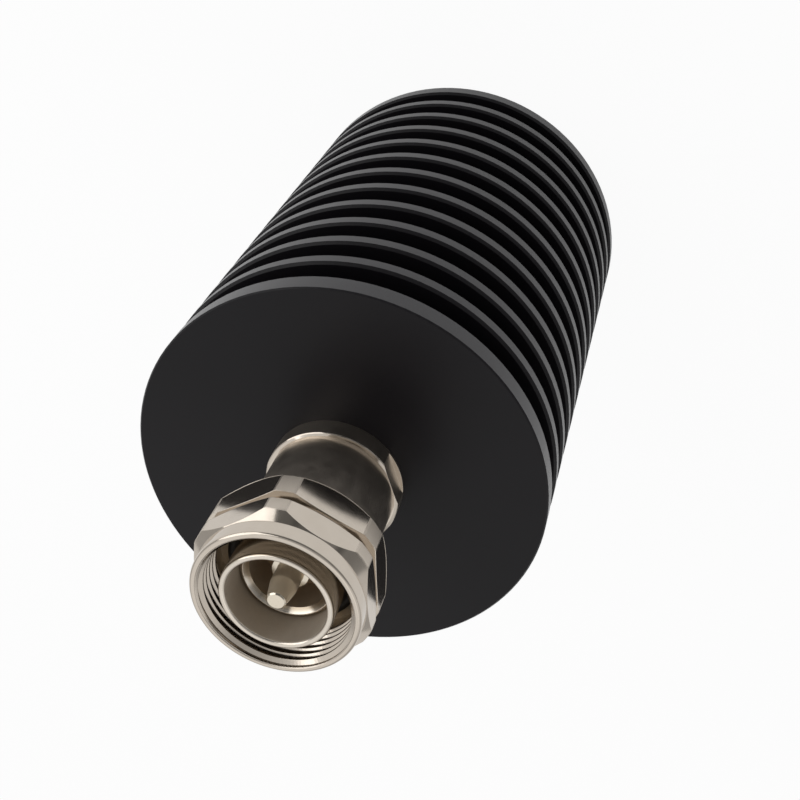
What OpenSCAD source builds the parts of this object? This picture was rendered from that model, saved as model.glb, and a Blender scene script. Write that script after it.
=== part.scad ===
// RF dummy load: a finned heat sink with a coaxial plug on its front face.
// The load stands on its rear end. +Z runs along the axis, towards the plug.

/* [Heat sink] */
// Outside diameter of the fins and the two end plates
fin_d = 84; // [70:1:110]
// Length of the heat sink
sink_len = 113.8; // [90:0.1:160]
// Diameter of the core between the fins
core_d = 46; // [40:1:60]
// Thickness of one fin
fin_t = 3.2; // [2:0.1:5]
// Number of fins between the end plates, with equal gaps
fin_count = 11; // [7:1:16]
// Thickness of the front plate
front_plate_t = 4.8; // [3:0.1:8]
// Thickness of the rear plate
rear_plate_t = 4.2; // [3:0.1:8]
// Width of the broken edges of the end plates and of the fins' rear sides
plate_edge = 0.3; // [0.1:0.05:0.6]
// Width of the broken edges of the fins' front sides
fin_edge = 0.55; // [0.1:0.05:0.8]

/* [Connector body] */
// Diameter of the plain barrel, from which the plug's other diameters step in and out
barrel_d = 25.1; // [24:0.1:32]
// Step from the barrel in to the screwed spigot
spigot_step = 1.55; // [1:0.05:1.7]
// Length of the screwed spigot
spigot_len = 10; // [8:0.5:14]
// Step from the barrel out to the collar
collar_step = 0.95; // [0.7:0.05:2]
// Height of the collar's two wrench flats above the barrel
flat_step = 0.1; // [0.05:0.05:0.5]
// Thickness of the round foot left behind the wrench flats
foot_t = 0.55; // [0.3:0.05:1.5]
// Thickness of the collar with its foot
collar_t = 4.6; // [3:0.1:8]
// Width of the flat land on the collar's front, round the barrel
collar_land = 0.3; // [0.1:0.05:0.5]
// Fall of the collar's front from that land to its edge
collar_drop = 0.2; // [0.05:0.05:0.5]
// Length of the barrel in front of the collar
barrel_len = 21.4; // [19:0.1:30]
// Bore of the coaxial line
line_d = 14.9; // [12:0.1:16]
// Width of the broken edges of the body
body_edge = 0.15; // [0.1:0.05:0.4]

/* [Coupling nut] */
// Overall length of the nut
nut_len = 17.3; // [15:0.05:22]
// Step from the barrel out to the root of the inside thread
nut_thread_step = 1.95; // [1.6:0.05:2.6]
// Wall between the thread's root and the hexagon's flats
nut_wall = 1.4; // [1.25:0.05:2.4]
// Height of the trimmed corners above the flats
nut_corner_step = 1.55; // [0.8:0.05:2]
// Step from the flats in to the edge of the rear face
nut_rear_step = 1.2; // [0.4:0.05:1.5]
// Axial run of the rear chamfer for each unit of radius
nut_rear_run = 1.05; // [0.6:0.05:1.6]
// Step from the flats in to the round front ring
nut_ring_step = 0.15; // [0.05:0.05:0.4]
// Length of the round front ring
nut_ring_len = 3.35; // [2:0.05:5]
// Round on the front ring's outer edge
nut_ring_round = 0.65; // [0.2:0.05:0.8]
// Distance of the turned groove's bottom, at its rear side, from the mouth
nut_groove_from_mouth = 9.45; // [8:0.05:11.5]
// Depth of the turned groove below the flats
nut_groove_depth = 0.55; // [0.3:0.05:0.6]
// Width at the bottom of the turned groove
nut_groove_w = 0.5; // [0.2:0.05:1]
// Axial run of the groove's rear side for each unit of radius
nut_groove_rear_run = 0.2; // [0.05:0.05:0.6]
// Axial run of the groove's front side for each unit of radius
nut_groove_front_run = 0.55; // [0.3:0.05:1]
// Length of the threaded bore
nut_thread_len = 8.8; // [6:0.1:10]
// Distance of the end of the nut's lip behind the barrel's front
nut_lip_setback = 0.2; // [0:0.05:0.5]
// Turn of the nut at rest
nut_turn = 15; // [0:1:59]

/* [Snap ring and seal] */
// Axial thickness of the snap ring
snap_t = 1.2; // [0.8:0.1:1.6]
// Distance of the snap ring's middle from the barrel's front
snap_from_front = 2.2; // [1.6:0.1:2.6]
// Distance of the snap ring's middle from the nut's rear face
snap_from_rear = 2.65; // [2:0.05:3.6]
// Depth of the snap ring in the barrel
snap_in = 0.8; // [0.5:0.1:1]
// Reach of the snap ring out of the barrel
snap_out = 1; // [0.6:0.1:1.3]
// Opening between the snap ring's ends
snap_opening = 3; // [1:0.5:6]
// Section diameter of the seal ring
seal_section = 2; // [1.2:0.1:2.2]

/* [Outer contact] */
// Wall of the barrel round the sleeve
barrel_wall = 1.95; // [1.4:0.05:2.2]
// Wall of the sleeve round its mouth
sleeve_wall = 1.3; // [1.15:0.05:1.7]
// Reach of the sleeve in front of the barrel
sleeve_reach = 11.85; // [10.5:0.05:13]
// Length of the sleeve inside the barrel
sleeve_seat = 9; // [7.5:0.5:12]
// Depth of the sleeve's mouth
sleeve_mouth = 6.75; // [5:0.05:8]
// Share of the throat's face that the relief groove round it takes
sleeve_relief_share = 0.8; // [0.2:0.05:0.95]
// Depth of the relief groove below the throat's face
sleeve_relief_depth = 1.2; // [0.4:0.1:1.6]
// Round on the edges of the sleeve's rim
sleeve_round = 0.55; // [0.2:0.05:0.6]
// Width of the chamfer at the throat
throat_chamfer = 0.9; // [0.3:0.05:1.2]

/* [Inner conductor] */
// Diameter of the inner conductor
conductor_d = 7; // [6:0.1:8]
// Distance of the conductor's shoulder behind the throat's face
shoulder_setback = 1.7; // [1:0.1:3]
// Diameter of the contact pin
pin_d = 5; // [4:0.1:5.4]
// Length of the contact pin in front of the shoulder
pin_len = 8; // [6:0.1:9]
// Length of the pin's taper
pin_taper = 4.1; // [2:0.1:5]
// Diameter of the pin's flat tip
pin_tip_d = 3.6; // [2:0.1:3.9]
// Diameter of the neck inside the bead
neck_d = 5.6; // [4:0.1:5.9]
// Length of the bead
bead_len = 6.5; // [4:0.1:7]
// Distance from the outside of the bead to the line's bore
bead_step = 1.1; // [0.6:0.05:1.3]
// Length of the inner conductor behind the front plate's face
conductor_rear = 4; // [2:0.5:7]
// Diameter of the tail that the tab is soldered to
tail_d = 3; // [2:0.1:4]
// Length of the tail
tail_len = 9; // [8.5:0.5:12]

/* [Load] */
// Diameter of the copper carrier
carrier_d = 20; // [18:0.1:20.6]
// Length of the carrier
carrier_len = 58; // [40:1:66]
// Length of the carrier's flat
carrier_flat_len = 17; // [15:0.5:24]
// Side of the square resistor chip
chip_w = 9; // [7:0.5:11]
// Thickness of the chip
chip_t = 1; // [0.6:0.1:1.5]
// Distance of the chip from the carrier's front
chip_from_front = 4; // [3:0.5:5]
// Length of the chip's cover
cover_len = 4; // [2:0.5:4.5]
// Width of the chip's cover
cover_w = 7; // [4:0.5:7]
// Thickness of the chip's cover
cover_t = 0.8; // [0.4:0.1:1.2]
// Width of the ribbon tab
tab_w = 2.4; // [1.5:0.1:4]
// Thickness of the ribbon tab
tab_t = 0.15; // [0.1:0.05:0.3]
// Length of the tab on the chip
tab_on_chip = 3.5; // [2:0.5:4]
// Length of the tab under the tail
tab_on_tail = 7; // [3:0.5:8]

/* [Clearances] */
// Radial clearance of screwed and pressed pieces
press_clear = 0.02; // [0.01:0.01:0.05]
// Radial clearance of the nut on the barrel
turn_clear = 0.15; // [0.1:0.05:0.3]
// Clearance of the snap ring in the nut
ring_clear = 0.25; // [0.1:0.05:0.3]

/* [Hidden] */
$fn = 128;

// Heights along the axis, from the rear end to the plug's mouth
face_z = sink_len;
fin_gap = (sink_len - front_plate_t - rear_plate_t - fin_count * fin_t) / (fin_count + 1);
foot_z = face_z + foot_t;
collar_z = face_z + collar_t;
barrel_z = collar_z + barrel_len;
spigot_z = face_z - spigot_len;
snap_z = barrel_z - snap_from_front;
nut_z0 = snap_z - snap_from_rear;
nut_z1 = nut_z0 + nut_len;
sleeve_z0 = barrel_z - sleeve_seat;
sleeve_z1 = barrel_z + sleeve_reach;
throat_z = sleeve_z1 - sleeve_mouth;
bead_z = sleeve_z0 + bead_len;
shoulder_z = throat_z - shoulder_setback;
tail_z1 = face_z - conductor_rear;
tail_z0 = tail_z1 - tail_len;

// Depths inside the heat sink
end_play = 0.5;
thread_floor_z = spigot_z - end_play;
carrier_z1 = thread_floor_z - end_play;
carrier_z0 = carrier_z1 - carrier_len;
chip_z1 = carrier_z1 - chip_from_front;
chip_z0 = chip_z1 - chip_w;

// The tail has a flat: the tab, the chip and the carrier's flat lie under it in turn
tail_flat_share = 0.8;
tail_flat_y = -tail_d / 2 * tail_flat_share;
chip_top_y = tail_flat_y - tab_t;
carrier_flat_y = chip_top_y - chip_t;

// Radii of the plug, each a step from the barrel's or from the line's
barrel_r = barrel_d / 2;
spigot_r = barrel_r - spigot_step;
collar_r = barrel_r + collar_step;
sleeve_r = barrel_r - barrel_wall;
line_r = line_d / 2;
bead_r = line_r + bead_step;
thread_r = barrel_r + nut_thread_step;
nut_flat_r = thread_r + nut_wall;

// Small steps and edges
relief_step = 0.1;
undercut_depth = 0.6;
undercut_len = 1.4;
mouth_break = 0.2;
pin_round = 0.25;
over = 1;

black = "#26262a";
nickel = "#b9b3aa";
silver = "#d5d2ca";
white = "#efece4";
amber = "#8a5526";
copper = "#b5714a";
rubber = "#1d1d1f";

// Points of a quarter round about a centre, between two angles
function quarter(cx, cy, r, a0, a1, n = 8) =
    [for (i = [0:n]) let (a = a0 + (a1 - a0) * i / n) [cx + r * cos(a), cy + r * sin(a)]];

// Outline of one disc from z0 to z1, with its rear edge broken by e0 and its front edge by e1
function disc(z0, z1, r, e0, e1) = [[r - e0, z0], [r, z0 + e0], [r, z1 - e1], [r - e1, z1]];

module turned(points) {
    rotate_extrude() polygon(points);
}

// Finned body, turned from one bar, with a threaded hole and a blind bore from the front
module heat_sink() {
    fin_r = fin_d / 2;
    core_r = core_d / 2;
    hole_r = spigot_r + press_clear;
    bore_r = carrier_d / 2 + press_clear;
    rear = concat([[0, 0]], disc(0, rear_plate_t, fin_r, plate_edge, fin_edge), [[core_r, rear_plate_t]]);
    fins = [for (k = [0:fin_count - 1]) let (z = rear_plate_t + fin_gap + k * (fin_t + fin_gap)) each concat(
        [[core_r, z]],
        disc(z, z + fin_t, fin_r, plate_edge, fin_edge),
        [[core_r, z + fin_t]])];
    front = concat([[core_r, face_z - front_plate_t]],
                   disc(face_z - front_plate_t, face_z, fin_r, plate_edge, plate_edge));
    hole = [[hole_r, face_z], [hole_r, thread_floor_z], [bore_r, thread_floor_z], [bore_r, carrier_z0],
            [0, carrier_z0]];
    color(black) turned(concat(rear, fins, front, hole));
}

// Spigot, collar with two wrench flats, and barrel, in one turned piece
module connector_body() {
    seat_r = sleeve_r + press_clear;
    groove_r = barrel_r - snap_in - press_clear;
    groove_half = snap_t / 2 + press_clear;
    rear = [[line_r, spigot_z], [spigot_r - body_edge, spigot_z], [spigot_r, spigot_z + body_edge],
            [spigot_r, face_z - undercut_len], [spigot_r - undercut_depth, face_z - undercut_len],
            [spigot_r - undercut_depth, face_z], [collar_r, face_z],
            [collar_r, collar_z - collar_drop - body_edge], [collar_r - body_edge, collar_z - collar_drop],
            [barrel_r + collar_land, collar_z], [barrel_r, collar_z]];
    front = [[barrel_r, snap_z - groove_half], [groove_r, snap_z - groove_half],
             [groove_r, snap_z + groove_half], [barrel_r, snap_z + groove_half],
             [barrel_r, barrel_z - body_edge], [barrel_r - body_edge, barrel_z]];
    inside = [[seat_r, barrel_z], [seat_r, sleeve_z0], [line_r, sleeve_z0]];
    color(nickel) difference() {
        turned(concat(rear, front, inside));
        for (side = [0, 180]) rotate([0, 0, side])
            translate([barrel_r + flat_step, -collar_r, foot_z])
                cube([collar_r, 2 * collar_r, collar_z - foot_z + over]);
    }
}

// Outline of the nut as it is turned, before its flats are milled
function nut_outline() =
    let (edge_r = nut_ring_round,
         far_r = nut_flat_r + nut_corner_step,
         rear_r = nut_flat_r - nut_rear_step,
         ring_r = nut_flat_r - nut_ring_step,
         groove_r = nut_flat_r - nut_groove_depth,
         groove_z0 = nut_z1 - nut_groove_from_mouth,
         groove_z1 = groove_z0 + nut_groove_w,
         ring_z = nut_z1 - nut_ring_len)
    [[0, nut_z0], [rear_r, nut_z0], [far_r, nut_z0 + (far_r - rear_r) * nut_rear_run],
     [far_r, groove_z0 - (far_r - groove_r) * nut_groove_rear_run], [groove_r, groove_z0], [groove_r, groove_z1],
     [far_r, groove_z1 + (far_r - groove_r) * nut_groove_front_run],
     [far_r, ring_z - (far_r - ring_r)], [ring_r, ring_z],
     each quarter(ring_r - edge_r, nut_z1 - edge_r, edge_r, 0, 90), [0, nut_z1]];

// Outline of the nut's hollow: lip with the snap ring's groove, relief and threaded mouth
function nut_hollow() =
    let (lip_r = barrel_r + turn_clear,
         groove_r = barrel_r + snap_out + ring_clear,
         groove_half = snap_t / 2 + ring_clear,
         lip_z = barrel_z - nut_lip_setback,
         thread_z = nut_z1 - nut_thread_len)
    [[0, nut_z0 - over], [lip_r, nut_z0 - over], [lip_r, snap_z - groove_half], [groove_r, snap_z - groove_half],
     [groove_r, snap_z + groove_half], [lip_r, snap_z + groove_half], [lip_r, lip_z],
     [thread_r + relief_step, lip_z], [thread_r + relief_step, thread_z], [thread_r, thread_z],
     [thread_r, nut_z1 - mouth_break], [thread_r + mouth_break, nut_z1], [thread_r + mouth_break, nut_z1 + over],
     [0, nut_z1 + over]];

// Hexagon nut that turns freely on the barrel
module coupling_nut() {
    color(nickel) difference() {
        intersection() {
            rotate([0, 0, nut_turn]) translate([0, 0, nut_z0 - over])
                cylinder(h = nut_len + 2 * over, r = nut_flat_r / cos(30), $fn = 6);
            turned(nut_outline());
        }
        turned(nut_hollow());
    }
}

// Open spring ring, held in the barrel's groove
module nut_snap_ring() {
    in_r = barrel_r - snap_in;
    out_r = barrel_r + snap_out;
    color(silver) difference() {
        translate([0, 0, snap_z - snap_t / 2]) cylinder(h = snap_t, r = out_r);
        translate([0, 0, snap_z - snap_t]) cylinder(h = 2 * snap_t, r = in_r);
        translate([0, -snap_opening / 2, snap_z - snap_t]) cube([2 * out_r, snap_opening, 2 * snap_t]);
    }
}

// Rubber ring round the sleeve, on the barrel's front face
module seal_ring() {
    color(rubber) rotate_extrude()
        translate([sleeve_r + press_clear + seal_section / 2, barrel_z + press_clear + seal_section / 2])
            circle(d = seal_section);
}

// Sleeve with a rounded rim, a mouth with a relief groove, a chamfered throat and a seat for the bead
module outer_contact() {
    mouth_r = sleeve_r - sleeve_wall;
    rim_z = sleeve_z1 - sleeve_round;
    throat_r = line_r + throat_chamfer;
    rim = concat(quarter(sleeve_r - sleeve_round, rim_z, sleeve_round, 0, 90),
                 quarter(mouth_r + sleeve_round, rim_z, sleeve_round, 90, 180));
    relief_r = mouth_r - (mouth_r - throat_r) * sleeve_relief_share;
    relief_z = throat_z - sleeve_relief_depth;
    inside = [[mouth_r, relief_z], [relief_r, relief_z], [relief_r, throat_z],
              [throat_r, throat_z], [line_r, throat_z - throat_chamfer], [line_r, bead_z],
              [bead_r + press_clear, bead_z], [bead_r + press_clear, sleeve_z0]];
    color(nickel) turned(concat([[sleeve_r, sleeve_z0]], rim, inside));
}

// Insulating bead round the conductor's neck
module support_bead() {
    neck_r = neck_d / 2 + press_clear;
    color(amber) turned([[neck_r, sleeve_z0], [bead_r, sleeve_z0], [bead_r, bead_z], [neck_r, bead_z]]);
}

// Inner conductor: tail with a flat, neck, shoulder and tapered contact pin
module centre_pin() {
    conductor_r = conductor_d / 2;
    neck_r = neck_d / 2;
    pin_r = pin_d / 2;
    tip_r = pin_tip_d / 2;
    tip_z = shoulder_z + pin_len;
    points = [[0, tail_z0], [tail_d / 2, tail_z0], [tail_d / 2, tail_z1], [conductor_r, tail_z1],
              [conductor_r, sleeve_z0 - press_clear], [neck_r, sleeve_z0 - press_clear],
              [neck_r, bead_z + press_clear], [conductor_r, bead_z + press_clear], [conductor_r, shoulder_z],
              [pin_r, shoulder_z], [pin_r, tip_z - pin_taper], [tip_r, tip_z - pin_round],
              [tip_r - pin_round, tip_z], [0, tip_z]];
    color(silver) difference() {
        turned(points);
        translate([-tail_d, tail_flat_y - tail_d, tail_z0 - over]) cube([2 * tail_d, tail_d, tail_len + over]);
    }
}

// Copper slug in the blind bore, with a flat at its front for the chip
module load_carrier() {
    r = carrier_d / 2;
    color(copper) difference() {
        translate([0, 0, carrier_z0]) cylinder(h = carrier_len, r = r);
        translate([-carrier_d, carrier_flat_y, carrier_z1 - carrier_flat_len])
            cube([2 * carrier_d, carrier_d, carrier_flat_len + over]);
    }
}

// A flat block on the axis, from a height y, its thickness upwards, and two places along the axis
module flat_block(w, y, t, z0, z1) {
    translate([-w / 2, y, z0]) cube([w, t, z1 - z0]);
}

// Ceramic chip that holds the resistor film
module load_chip() {
    color(white) flat_block(chip_w, carrier_flat_y, chip_t, chip_z0, chip_z1);
}

// Ceramic cover on the rear half of the chip
module chip_cover() {
    gap = (chip_w - tab_on_chip - cover_len) / 2;
    color(white) flat_block(cover_w, chip_top_y, cover_t, chip_z0 + gap, chip_z0 + gap + cover_len);
}

// Ribbon from the chip to the flat of the conductor's tail
module chip_tab() {
    color(silver) flat_block(tab_w, chip_top_y, tab_t, chip_z1 - tab_on_chip, tail_z0 + tab_on_tail);
}

heat_sink();
connector_body();
coupling_nut();
nut_snap_ring();
seal_ring();
outer_contact();
support_bead();
centre_pin();
load_carrier();
load_chip();
chip_cover();
chip_tab();
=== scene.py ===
"""Looks of the RF dummy load: camera, light, materials and the nut's thread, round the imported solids."""
import math

import bmesh
import bpy
from mathutils import Matrix, Vector


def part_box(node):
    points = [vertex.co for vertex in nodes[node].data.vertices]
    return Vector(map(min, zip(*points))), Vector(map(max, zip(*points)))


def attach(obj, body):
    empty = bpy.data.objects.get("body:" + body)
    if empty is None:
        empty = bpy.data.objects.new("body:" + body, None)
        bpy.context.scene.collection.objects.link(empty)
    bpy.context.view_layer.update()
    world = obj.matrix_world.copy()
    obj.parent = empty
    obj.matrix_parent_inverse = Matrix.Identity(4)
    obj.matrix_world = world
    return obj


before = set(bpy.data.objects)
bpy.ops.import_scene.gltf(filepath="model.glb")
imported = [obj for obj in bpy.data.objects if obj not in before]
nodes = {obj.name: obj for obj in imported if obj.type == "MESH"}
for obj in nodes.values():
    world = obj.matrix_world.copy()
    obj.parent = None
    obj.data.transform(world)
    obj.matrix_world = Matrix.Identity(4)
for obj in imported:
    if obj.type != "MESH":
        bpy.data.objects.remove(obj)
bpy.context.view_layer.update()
MM = 0.001

# The load in the camera's own frame, x right, y down and z away, for a square picture of 800 pixels
PICTURE_PX = 800
FOCAL_PX = 1234.7
SENSOR_MM = 36.0
AXIS_AZIMUTH = math.radians(115.11)
AXIS_TILT = math.radians(35.34)
FACE_CENTRE = Vector((-12.394, 15.385, 244.66)) * MM
FLATS_TURN = math.radians(37.6)

# Depth of the sleeve's mouth, in millimetres
SLEEVE_MOUTH = 6.75

# Thread in the nut's mouth: its ridge is sunk into the bore, as the relief behind is a little wider
THREAD_PITCH = 1.5 * MM
THREAD_ROOT_R = 14.5 * MM
THREAD_CREST_R = 13.68 * MM
THREAD_ROOT_WIDTH = 0.88 * THREAD_PITCH
THREAD_CREST_WIDTH = 0.22 * THREAD_PITCH
THREAD_START = 0.15 * MM
THREAD_LENGTH = 8.3 * MM
THREAD_SINK = 0.15 * MM
THREAD_FADE_TURNS = 0.4
STEPS_PER_TURN = 128
WELD_DISTANCE = 0.001 * MM

# Rear edges of the nut's flats: the rear cone rises by its run for each millimetre of radius
NUT_SIDES = 6
NUT_TURN = math.radians(15)
NUT_FLAT_R = 15.9 * MM
NUT_CORNER_R = 17.45 * MM
NUT_REAR_R = 14.7 * MM
NUT_REAR_RUN = 1.05

# Roll along each edge: radius, share of it left at the ends, power of the taper, share that is set in
EDGE_ROLL_R = 0.1 * MM
EDGE_ROLL_END = 0.2
EDGE_ROLL_TAPER = 6
EDGE_ROLL_SET_IN = 0.4
EDGE_ROLL_STEPS = 32
EDGE_ROLL_SIDES = 8


# Small helpers

def direction(angle, elevation):
    """Unit vector at an angle from +X about the axis and an elevation above the floor, in degrees."""
    a = math.radians(angle)
    e = math.radians(elevation)
    return Vector((math.cos(a) * math.cos(e), math.sin(a) * math.cos(e), math.sin(e)))


def new_mesh(name, points, faces):
    mesh = bpy.data.meshes.new(name)
    mesh.from_pydata(points, [], faces)
    mesh.validate()
    obj = bpy.data.objects.new(name, mesh)
    bpy.context.scene.collection.objects.link(obj)
    return obj


def weld(obj):
    """Joins the points that share a place, which takes out the faces without area."""
    shape = bmesh.new()
    shape.from_mesh(obj.data)
    bmesh.ops.remove_doubles(shape, verts=shape.verts, dist=WELD_DISTANCE)
    shape.to_mesh(obj.data)
    shape.free()


class Nodes:
    """Short calls to build a node tree."""

    def __init__(self, tree):
        self.tree = tree
        tree.nodes.clear()

    def add(self, kind, inputs=None, **settings):
        node = self.tree.nodes.new(kind)
        for key, value in settings.items():
            setattr(node, key, value)
        for key, value in (inputs or {}).items():
            self.put(node.inputs[key], value)
        return node

    def put(self, socket, value):
        if isinstance(value, bpy.types.NodeSocket):
            self.tree.links.new(value, socket)
        else:
            socket.default_value = value

    def math(self, operation, a, b=0.0):
        return self.add("ShaderNodeMath", {0: a, 1: b}, operation=operation).outputs[0]

    def ramp(self, value, low, high, to_low=0.0, to_high=1.0):
        inputs = {"Value": value, "From Min": low, "From Max": high, "To Min": to_low, "To Max": to_high}
        return self.add("ShaderNodeMapRange", inputs, interpolation_type="SMOOTHSTEP").outputs[0]

    def noise(self, vector, scale, detail=3.0, roughness=0.5):
        inputs = {"Vector": vector, "Scale": scale, "Detail": detail, "Roughness": roughness}
        return self.add("ShaderNodeTexNoise", inputs).outputs["Fac"]

    def mix(self, factor, a, b):
        node = self.add("ShaderNodeMix", data_type="RGBA")
        self.put(node.inputs["Factor"], factor)
        self.put(node.inputs["A"], a)
        self.put(node.inputs["B"], b)
        return node.outputs["Result"]


def new_material(name):
    material = bpy.data.materials.new(name)
    material.use_nodes = True
    return material, Nodes(material.node_tree)


def place(build):
    """The object's own coordinates, in millimetres."""
    coords = build.add("ShaderNodeTexCoord").outputs["Object"]
    return build.add("ShaderNodeVectorMath", {0: coords, 1: (1 / MM,) * 3}, operation="MULTIPLY").outputs[0]


def polar(build, where):
    """The radius and the height of a place, about and along the axis."""
    split = build.add("ShaderNodeSeparateXYZ", {0: where})
    across = build.math("POWER", split.outputs["X"], 2.0)
    along = build.math("POWER", split.outputs["Y"], 2.0)
    radius = build.math("SQRT", build.math("ADD", across, along))
    return radius, split.outputs["Z"]


def axis_share(build):
    """Share of the axis in a face's normal: 0 on walls along the axis, 1 on faces square to it."""
    normal = build.add("ShaderNodeNewGeometry").outputs["True Normal"]
    return build.math("ABSOLUTE", build.add("ShaderNodeSeparateXYZ", {0: normal}).outputs["Z"])


def rgb(r, g, b):
    return (r, g, b, 1.0)


# Materials

NICKEL_LIGHT = rgb(0.64, 0.575, 0.50)
NICKEL_DARK = rgb(0.58, 0.515, 0.44)
# Shaded nickel, painted into the deep bores and gaps as painted shade
NICKEL_PAINTED_SHADE = rgb(0.46, 0.385, 0.295)


def black_anodised():
    """Fine-blasted black anodised aluminium, with a painted highlight on the turned rims of the fins: a
    greyer colour there stands in for the light they reflect.
    """
    material, build = new_material("black_anodised")
    where = place(build)
    grain = build.noise(where, 5.0, 4.0, 0.65)
    cloud = build.noise(where, 0.06, 3.0)
    rim_light_share = build.ramp(axis_share(build), 0.85, 0.3)
    face_tone = build.mix(cloud, rgb(0.0036, 0.0028, 0.0040), rgb(0.0055, 0.0044, 0.0060))
    # Painted highlight: the rims' colour is greyer than the faces', in place of the light the rims reflect
    rim_painted_light = build.mix(cloud, rgb(0.049, 0.0475, 0.0510), rgb(0.065, 0.0632, 0.0672))
    tone = build.mix(rim_light_share, face_tone, rim_painted_light)
    speck = build.ramp(grain, 0.35, 0.75, 0.85, 1.2)
    colour = build.add("ShaderNodeVectorMath", {0: tone, 1: speck}, operation="MULTIPLY").outputs[0]
    roughness = build.ramp(grain, 0.3, 0.7, 0.32, 0.42)
    bump = build.add("ShaderNodeBump", {"Strength": 0.12, "Distance": 0.02 * MM, "Height": grain})
    shader = build.add("ShaderNodeBsdfPrincipled", {
        "Base Color": colour, "Roughness": roughness, "Specular IOR Level": 0.2, "Sheen Weight": 0.5,
        "Sheen Roughness": 0.3, "Normal": bump.outputs[0]})
    build.add("ShaderNodeOutputMaterial", {"Surface": shader.outputs[0]})
    return material


def plated(name, colour, shade, roughness, walls=None, lands=None, bore=None, deep=None, skirt=None, lean=0.0,
           edge=0.12):
    """Bright plating over turned metal: fine rings, a soft edge to each corner and faint cloudiness.

    The faces along the axis have the roughness of walls, those beyond a radius the roughness of lands,
    and those within a radius the roughness of bore. Below the height of deep, within the bore where one is
    given, and beyond the radius of skirt, the colour turns to shaded nickel: painted shade of the deep bores
    and of the gaps between parts. A lean tips the faces' shading a little towards the mouth. Each corner is
    softened over the distance of edge, in millimetres.
    """
    material, build = new_material(name)
    where = place(build)
    radius, height = polar(build, where)
    ring_place = build.add("ShaderNodeCombineXYZ", {"X": radius, "Y": 0.0, "Z": height}).outputs[0]
    rings = build.noise(ring_place, 9.0, 3.0, 0.6)
    cloud = build.noise(where, 0.35, 4.0, 0.6)
    fine = build.noise(where, 6.0, 2.0)
    tone = build.mix(cloud, colour, shade)
    # Painted shade: deep in the bore and in the gaps the colour is mixed towards the shaded nickel
    if deep:
        dark = build.ramp(height, deep - 0.6, deep, 1.0, 0.0)
        if bore:
            dark = build.math("MULTIPLY", dark, build.ramp(radius, bore[0], bore[0] + 0.05, 1.0, 0.0))
        if skirt:
            dark = build.math("MAXIMUM", dark, build.ramp(radius, skirt - 0.05, skirt))
        tone = build.mix(dark, tone, NICKEL_PAINTED_SHADE)
    gloss = roughness if walls is None else build.ramp(axis_share(build), 0.2, 0.6, walls, roughness)
    if lands:
        gloss = build.ramp(radius, lands[0] - 0.05, lands[0], gloss, lands[1])
    if bore:
        gloss = build.ramp(radius, bore[0], bore[0] + 0.05, bore[1], gloss)
    gloss = build.math("MULTIPLY", gloss, build.ramp(cloud, 0.3, 0.7, 0.92, 1.1))
    gloss = build.math("ADD", gloss, build.ramp(fine, 0.4, 0.8, 0.0, 0.02))
    rounded = build.add("ShaderNodeBevel", {"Radius": edge * MM}, samples=6).outputs[0]
    if lean:
        tipped = build.add("ShaderNodeVectorMath", {0: rounded, 1: (0, 0, lean)}, operation="ADD").outputs[0]
        rounded = build.add("ShaderNodeVectorMath", {0: tipped}, operation="NORMALIZE").outputs[0]
    bump = build.add("ShaderNodeBump", {
        "Strength": 0.04, "Distance": 0.01 * MM, "Height": rings, "Normal": rounded})
    shader = build.add("ShaderNodeBsdfPrincipled", {
        "Base Color": tone, "Metallic": 1.0, "Roughness": gloss, "Normal": bump.outputs[0]})
    build.add("ShaderNodeOutputMaterial", {"Surface": shader.outputs[0]})
    return material


def dull(name, colour, shade, roughness, grain_scale):
    """Rubber, ceramic or plastic with a fine mottle."""
    material, build = new_material(name)
    mottle = build.noise(place(build), grain_scale, 4.0)
    tone = build.mix(mottle, colour, shade)
    gloss = build.ramp(mottle, 0.3, 0.7, roughness * 0.85, roughness * 1.1)
    bump = build.add("ShaderNodeBump", {"Strength": 0.1, "Distance": 0.02 * MM, "Height": mottle})
    shader = build.add("ShaderNodeBsdfPrincipled", {
        "Base Color": tone, "Roughness": gloss, "Normal": bump.outputs[0]})
    build.add("ShaderNodeOutputMaterial", {"Surface": shader.outputs[0]})
    return material


def dress(node, material):
    slots = nodes[node].data.materials
    slots.clear()
    slots.append(material)


# Heights of the thread's end and of the sleeve's throat, below which the plating's colour is painted darker
# as painted shade
thread_end = (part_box("coupling_nut")[1].z - THREAD_LENGTH) / MM
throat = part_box("outer_contact")[1].z / MM - SLEEVE_MOUTH

nickel_body = plated("nickel_body", NICKEL_LIGHT, NICKEL_DARK, 0.08, walls=0.34, edge=0.09)
nickel_nut = plated("nickel_nut", NICKEL_LIGHT, NICKEL_DARK, 0.1, walls=0.09, lands=(17.3, 0.3),
                    bore=(14.7, 0.35), deep=thread_end, lean=0.025)
nickel_thread = plated("nickel_thread", NICKEL_LIGHT, NICKEL_DARK, 0.14)
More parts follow.
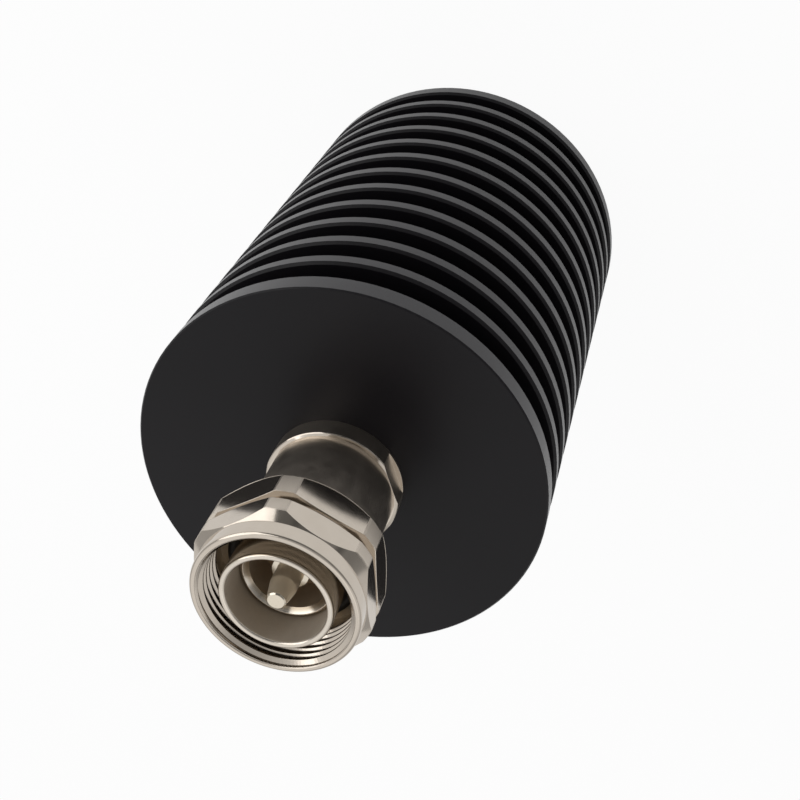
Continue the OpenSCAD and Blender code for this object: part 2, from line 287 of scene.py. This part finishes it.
# The sleeve's nickel is a lighter copy of the plating: painted light that brightens the inside of its mouth
nickel_sleeve = plated("nickel_sleeve", rgb(0.73, 0.665, 0.58), rgb(0.67, 0.605, 0.52), 0.15, walls=0.65,
                       lands=(10.45, 0.22), deep=throat - 0.1, skirt=10.45)
silver = plated("silver_pin", rgb(0.76, 0.69, 0.57), rgb(0.70, 0.63, 0.52), 0.12, walls=0.5)
spring = plated("spring_metal", rgb(0.60, 0.51, 0.36), rgb(0.5, 0.41, 0.28), 0.25)
copper = plated("copper", rgb(0.72, 0.36, 0.22), rgb(0.55, 0.25, 0.14), 0.32)
ribbon = plated("silver_tab", rgb(0.82, 0.80, 0.76), rgb(0.72, 0.70, 0.65), 0.22)
rubber = dull("seal_rubber", rgb(0.022, 0.016, 0.010), rgb(0.034, 0.025, 0.016), 0.6, 4.0)
insulator = dull("amber_insulator", rgb(0.27, 0.18, 0.10), rgb(0.2, 0.13, 0.07), 0.42, 0.8)
ceramic = dull("white_ceramic", rgb(0.80, 0.79, 0.75), rgb(0.72, 0.71, 0.67), 0.6, 3.0)

dress("heat_sink", black_anodised())
dress("connector_body", nickel_body)
dress("coupling_nut", nickel_nut)
dress("nut_snap_ring", spring)
dress("seal_ring", rubber)
dress("outer_contact", nickel_sleeve)
dress("support_bead", insulator)
dress("centre_pin", silver)
dress("load_carrier", copper)
dress("load_chip", ceramic)
dress("chip_cover", ceramic)
dress("chip_tab", ribbon)


# Thread of the coupling nut: one ridge that winds down the bore, bevelled at the mouth and fading out below

def nut_thread():
    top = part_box("coupling_nut")[1].z - THREAD_START
    turns = THREAD_LENGTH / THREAD_PITCH + 1
    steps = round(turns * STEPS_PER_TURN)
    root_half = THREAD_ROOT_WIDTH / 2
    crest_half = THREAD_CREST_WIDTH / 2
    height = THREAD_ROOT_R - THREAD_CREST_R
    section = [(-root_half, -THREAD_SINK), (-root_half, 0.0), (-crest_half, height), (crest_half, height),
               (root_half, 0.0), (root_half, -THREAD_SINK)]
    points = []
    for i in range(steps + 1):
        turn = i / STEPS_PER_TURN
        fade = min(1.0, (turns - turn) / THREAD_FADE_TURNS)
        angle = 2 * math.pi * turn
        middle = top + root_half - turn * THREAD_PITCH
        for along, rise in section:
            z = min(middle + along, top)
            inward = min(rise * fade, top - z) if rise > 0 else rise
            r = THREAD_ROOT_R - inward
            points.append((r * math.cos(angle), -r * math.sin(angle), z))
    count = len(section)
    faces = []
    for i in range(steps):
        for j in range(count):
            k = (j + 1) % count
            a = i * count
            b = a + count
            faces.append((a + j, b + j, b + k, a + k))
    faces.append(tuple(reversed(range(count))))
    faces.append(tuple(steps * count + j for j in range(count)))
    ridge = new_mesh("nut_thread", points, faces)
    weld(ridge)
    ridge.data.materials.append(nickel_thread)
    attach(ridge, "nut")


nut_thread()


# Rolled rear edge of each of the nut's flats, where the rear cone cuts it in an arc

def nut_edge_rolls():
    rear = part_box("coupling_nut")[0].z
    half = math.acos(NUT_FLAT_R / NUT_CORNER_R)
    steps = EDGE_ROLL_STEPS
    sides = EDGE_ROLL_SIDES
    points = []
    faces = []
    for k in range(NUT_SIDES):
        middle = NUT_TURN + (2 * k + 1) * math.pi / NUT_SIDES
        out = Vector((math.cos(middle), math.sin(middle), 0))
        start = len(points)
        for i in range(steps + 1):
            share = 2 * i / steps - 1
            swing = half * share
            r = NUT_FLAT_R / math.cos(swing)
            z = rear + (r - NUT_REAR_R) * NUT_REAR_RUN
            thin = EDGE_ROLL_R * math.sqrt(max(EDGE_ROLL_END ** 2, 1 - abs(share) ** EDGE_ROLL_TAPER))
            centre = Vector((r * math.cos(middle + swing), r * math.sin(middle + swing), z))
            for j in range(sides):
                turn = 2 * math.pi * j / sides
                sideways = out * (math.cos(turn) - EDGE_ROLL_SET_IN) * thin
                upwards = Vector((0, 0, (math.sin(turn) + EDGE_ROLL_SET_IN) * thin))
                points.append(centre + sideways + upwards)
        for i in range(steps):
            a = start + i * sides
            for j in range(sides):
                n = (j + 1) % sides
                faces.append((a + j, a + sides + j, a + sides + n, a + n))
        last = start + steps * sides
        faces.append(tuple(start + j for j in range(sides)))
        faces.append(tuple(last + j for j in reversed(range(sides))))
    rolls = new_mesh("nut_edge_rolls", points, faces)
    for face in rolls.data.polygons:
        face.use_smooth = len(face.vertices) == 4
    rolls.data.materials.append(nickel_nut)
    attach(rolls, "nut")


nut_edge_rolls()


# Floor and backdrop

FLOOR_HALF = 4.0
WHITE_IN_PICTURE = 0.94
WHITE_IN_METAL = 0.56


def white_share(build):
    """Share of plain white on the floor: nearly all for the camera, less in what metal and glass show."""
    path = build.add("ShaderNodeLightPath")
    shiny = build.math("MAXIMUM", path.outputs["Is Glossy Ray"], path.outputs["Is Transmission Ray"])
    in_metal = build.math("MULTIPLY", shiny, WHITE_IN_METAL)
    in_picture = build.math("MULTIPLY", path.outputs["Is Camera Ray"], WHITE_IN_PICTURE)
    return build.math("MAXIMUM", in_picture, in_metal)


def pale_floor():
    material, build = new_material("pale_floor")
    mottle = build.noise(place(build), 0.02, 2.0)
    tone = build.mix(mottle, rgb(0.86, 0.86, 0.86), rgb(0.88, 0.88, 0.88))
    matt = build.add("ShaderNodeBsdfDiffuse", {"Color": tone})
    white = build.add("ShaderNodeEmission", {"Color": rgb(1, 1, 1), "Strength": 1.0})
    mixed = build.add("ShaderNodeMixShader", {0: white_share(build), 1: matt.outputs[0], 2: white.outputs[0]})
    build.add("ShaderNodeOutputMaterial", {"Surface": mixed.outputs[0]})
    return material


floor = new_mesh("floor", [(-FLOOR_HALF, -FLOOR_HALF, 0), (FLOOR_HALF, -FLOOR_HALF, 0),
                           (FLOOR_HALF, FLOOR_HALF, 0), (-FLOOR_HALF, FLOOR_HALF, 0)], [(0, 1, 2, 3)])
floor.data.materials.append(pale_floor())


# World: a tent with a bright patch beyond the load, one to its right, and dark openings round the camera

# Each patch is a direction, the angles at which its full gain ends and its fading ends, and the gain
TENT_LEVEL = 0.45
PATCHES = [(direction(208, 54), 16, 50, 2.1), (direction(302, 44), 15, 40, 1.7),
           (direction(-5, 32), 14, 20, 0.5), (direction(25, 34), 14, 20, 0.5),
           (direction(55, 34), 14, 20, 0.3), (direction(85, 32), 14, 20, 0.3)]


def tent():
    world = bpy.data.worlds.new("tent")
    bpy.context.scene.world = world
    world.use_nodes = True
    build = Nodes(world.node_tree)
    ray = build.add("ShaderNodeTexCoord").outputs["Generated"]
    level = TENT_LEVEL
    for towards, inner, outer, times in PATCHES:
        product = build.add("ShaderNodeVectorMath", {0: ray, 1: towards}, operation="DOT_PRODUCT")
        dot = product.outputs["Value"]
        gain = build.ramp(dot, math.cos(math.radians(outer)), math.cos(math.radians(inner)), 1.0, times)
        level = build.math("MULTIPLY", gain, level)
    path = build.add("ShaderNodeLightPath")
    strength = build.math("MAXIMUM", path.outputs["Is Camera Ray"], level)
    light = build.add("ShaderNodeBackground", {"Color": rgb(1, 1, 1), "Strength": strength})
    build.add("ShaderNodeOutputWorld", {"Surface": light.outputs[0]})


tent()


# Lamp: a softbox that faces the front plate's middle

def softbox(name, angle, elevation, distance, width, height, watts):
    lamp = bpy.data.lights.new(name, "AREA")
    lamp.shape = "RECTANGLE"
    lamp.size = width
    lamp.size_y = height
    lamp.energy = watts
    obj = bpy.data.objects.new(name, lamp)
    bpy.context.scene.collection.objects.link(obj)
    aim = Vector((0, 0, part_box("heat_sink")[1].z))
    obj.location = aim + direction(angle, elevation) * distance
    obj.rotation_euler = (aim - obj.location).to_track_quat("-Z", "Y").to_euler()


softbox("left_softbox", angle=127, elevation=38, distance=0.8, width=0.68, height=0.66, watts=1.9)


# Camera, at the photograph's place

def camera():
    axis = Vector((math.sin(AXIS_TILT) * math.cos(AXIS_AZIMUTH),
                   math.sin(AXIS_TILT) * math.sin(AXIS_AZIMUTH),
                   -math.cos(AXIS_TILT)))
    side = axis.cross(Vector((0, 0, 1))).normalized()
    across = axis.cross(side)
    x_axis = side * math.cos(FLATS_TURN) + across * math.sin(FLATS_TURN)
    y_axis = across * math.cos(FLATS_TURN) - side * math.sin(FLATS_TURN)
    flip = Matrix.Diagonal((1, -1, -1))
    seen = flip @ Matrix((x_axis, y_axis, axis)).transposed()
    turn = seen.transposed()
    face = Vector((0, 0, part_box("heat_sink")[1].z))
    spot = face - turn @ (flip @ FACE_CENTRE)
    data = bpy.data.cameras.new("camera")
    data.sensor_width = SENSOR_MM
    data.lens = SENSOR_MM * FOCAL_PX / PICTURE_PX
    data.clip_start = 0.01
    data.clip_end = 50.0
    obj = bpy.data.objects.new("camera", data)
    bpy.context.scene.collection.objects.link(obj)
    obj.matrix_world = Matrix.Translation(spot) @ turn.to_4x4()
    bpy.context.scene.camera = obj


camera()
bpy.context.scene.view_settings.view_transform = "Standard"
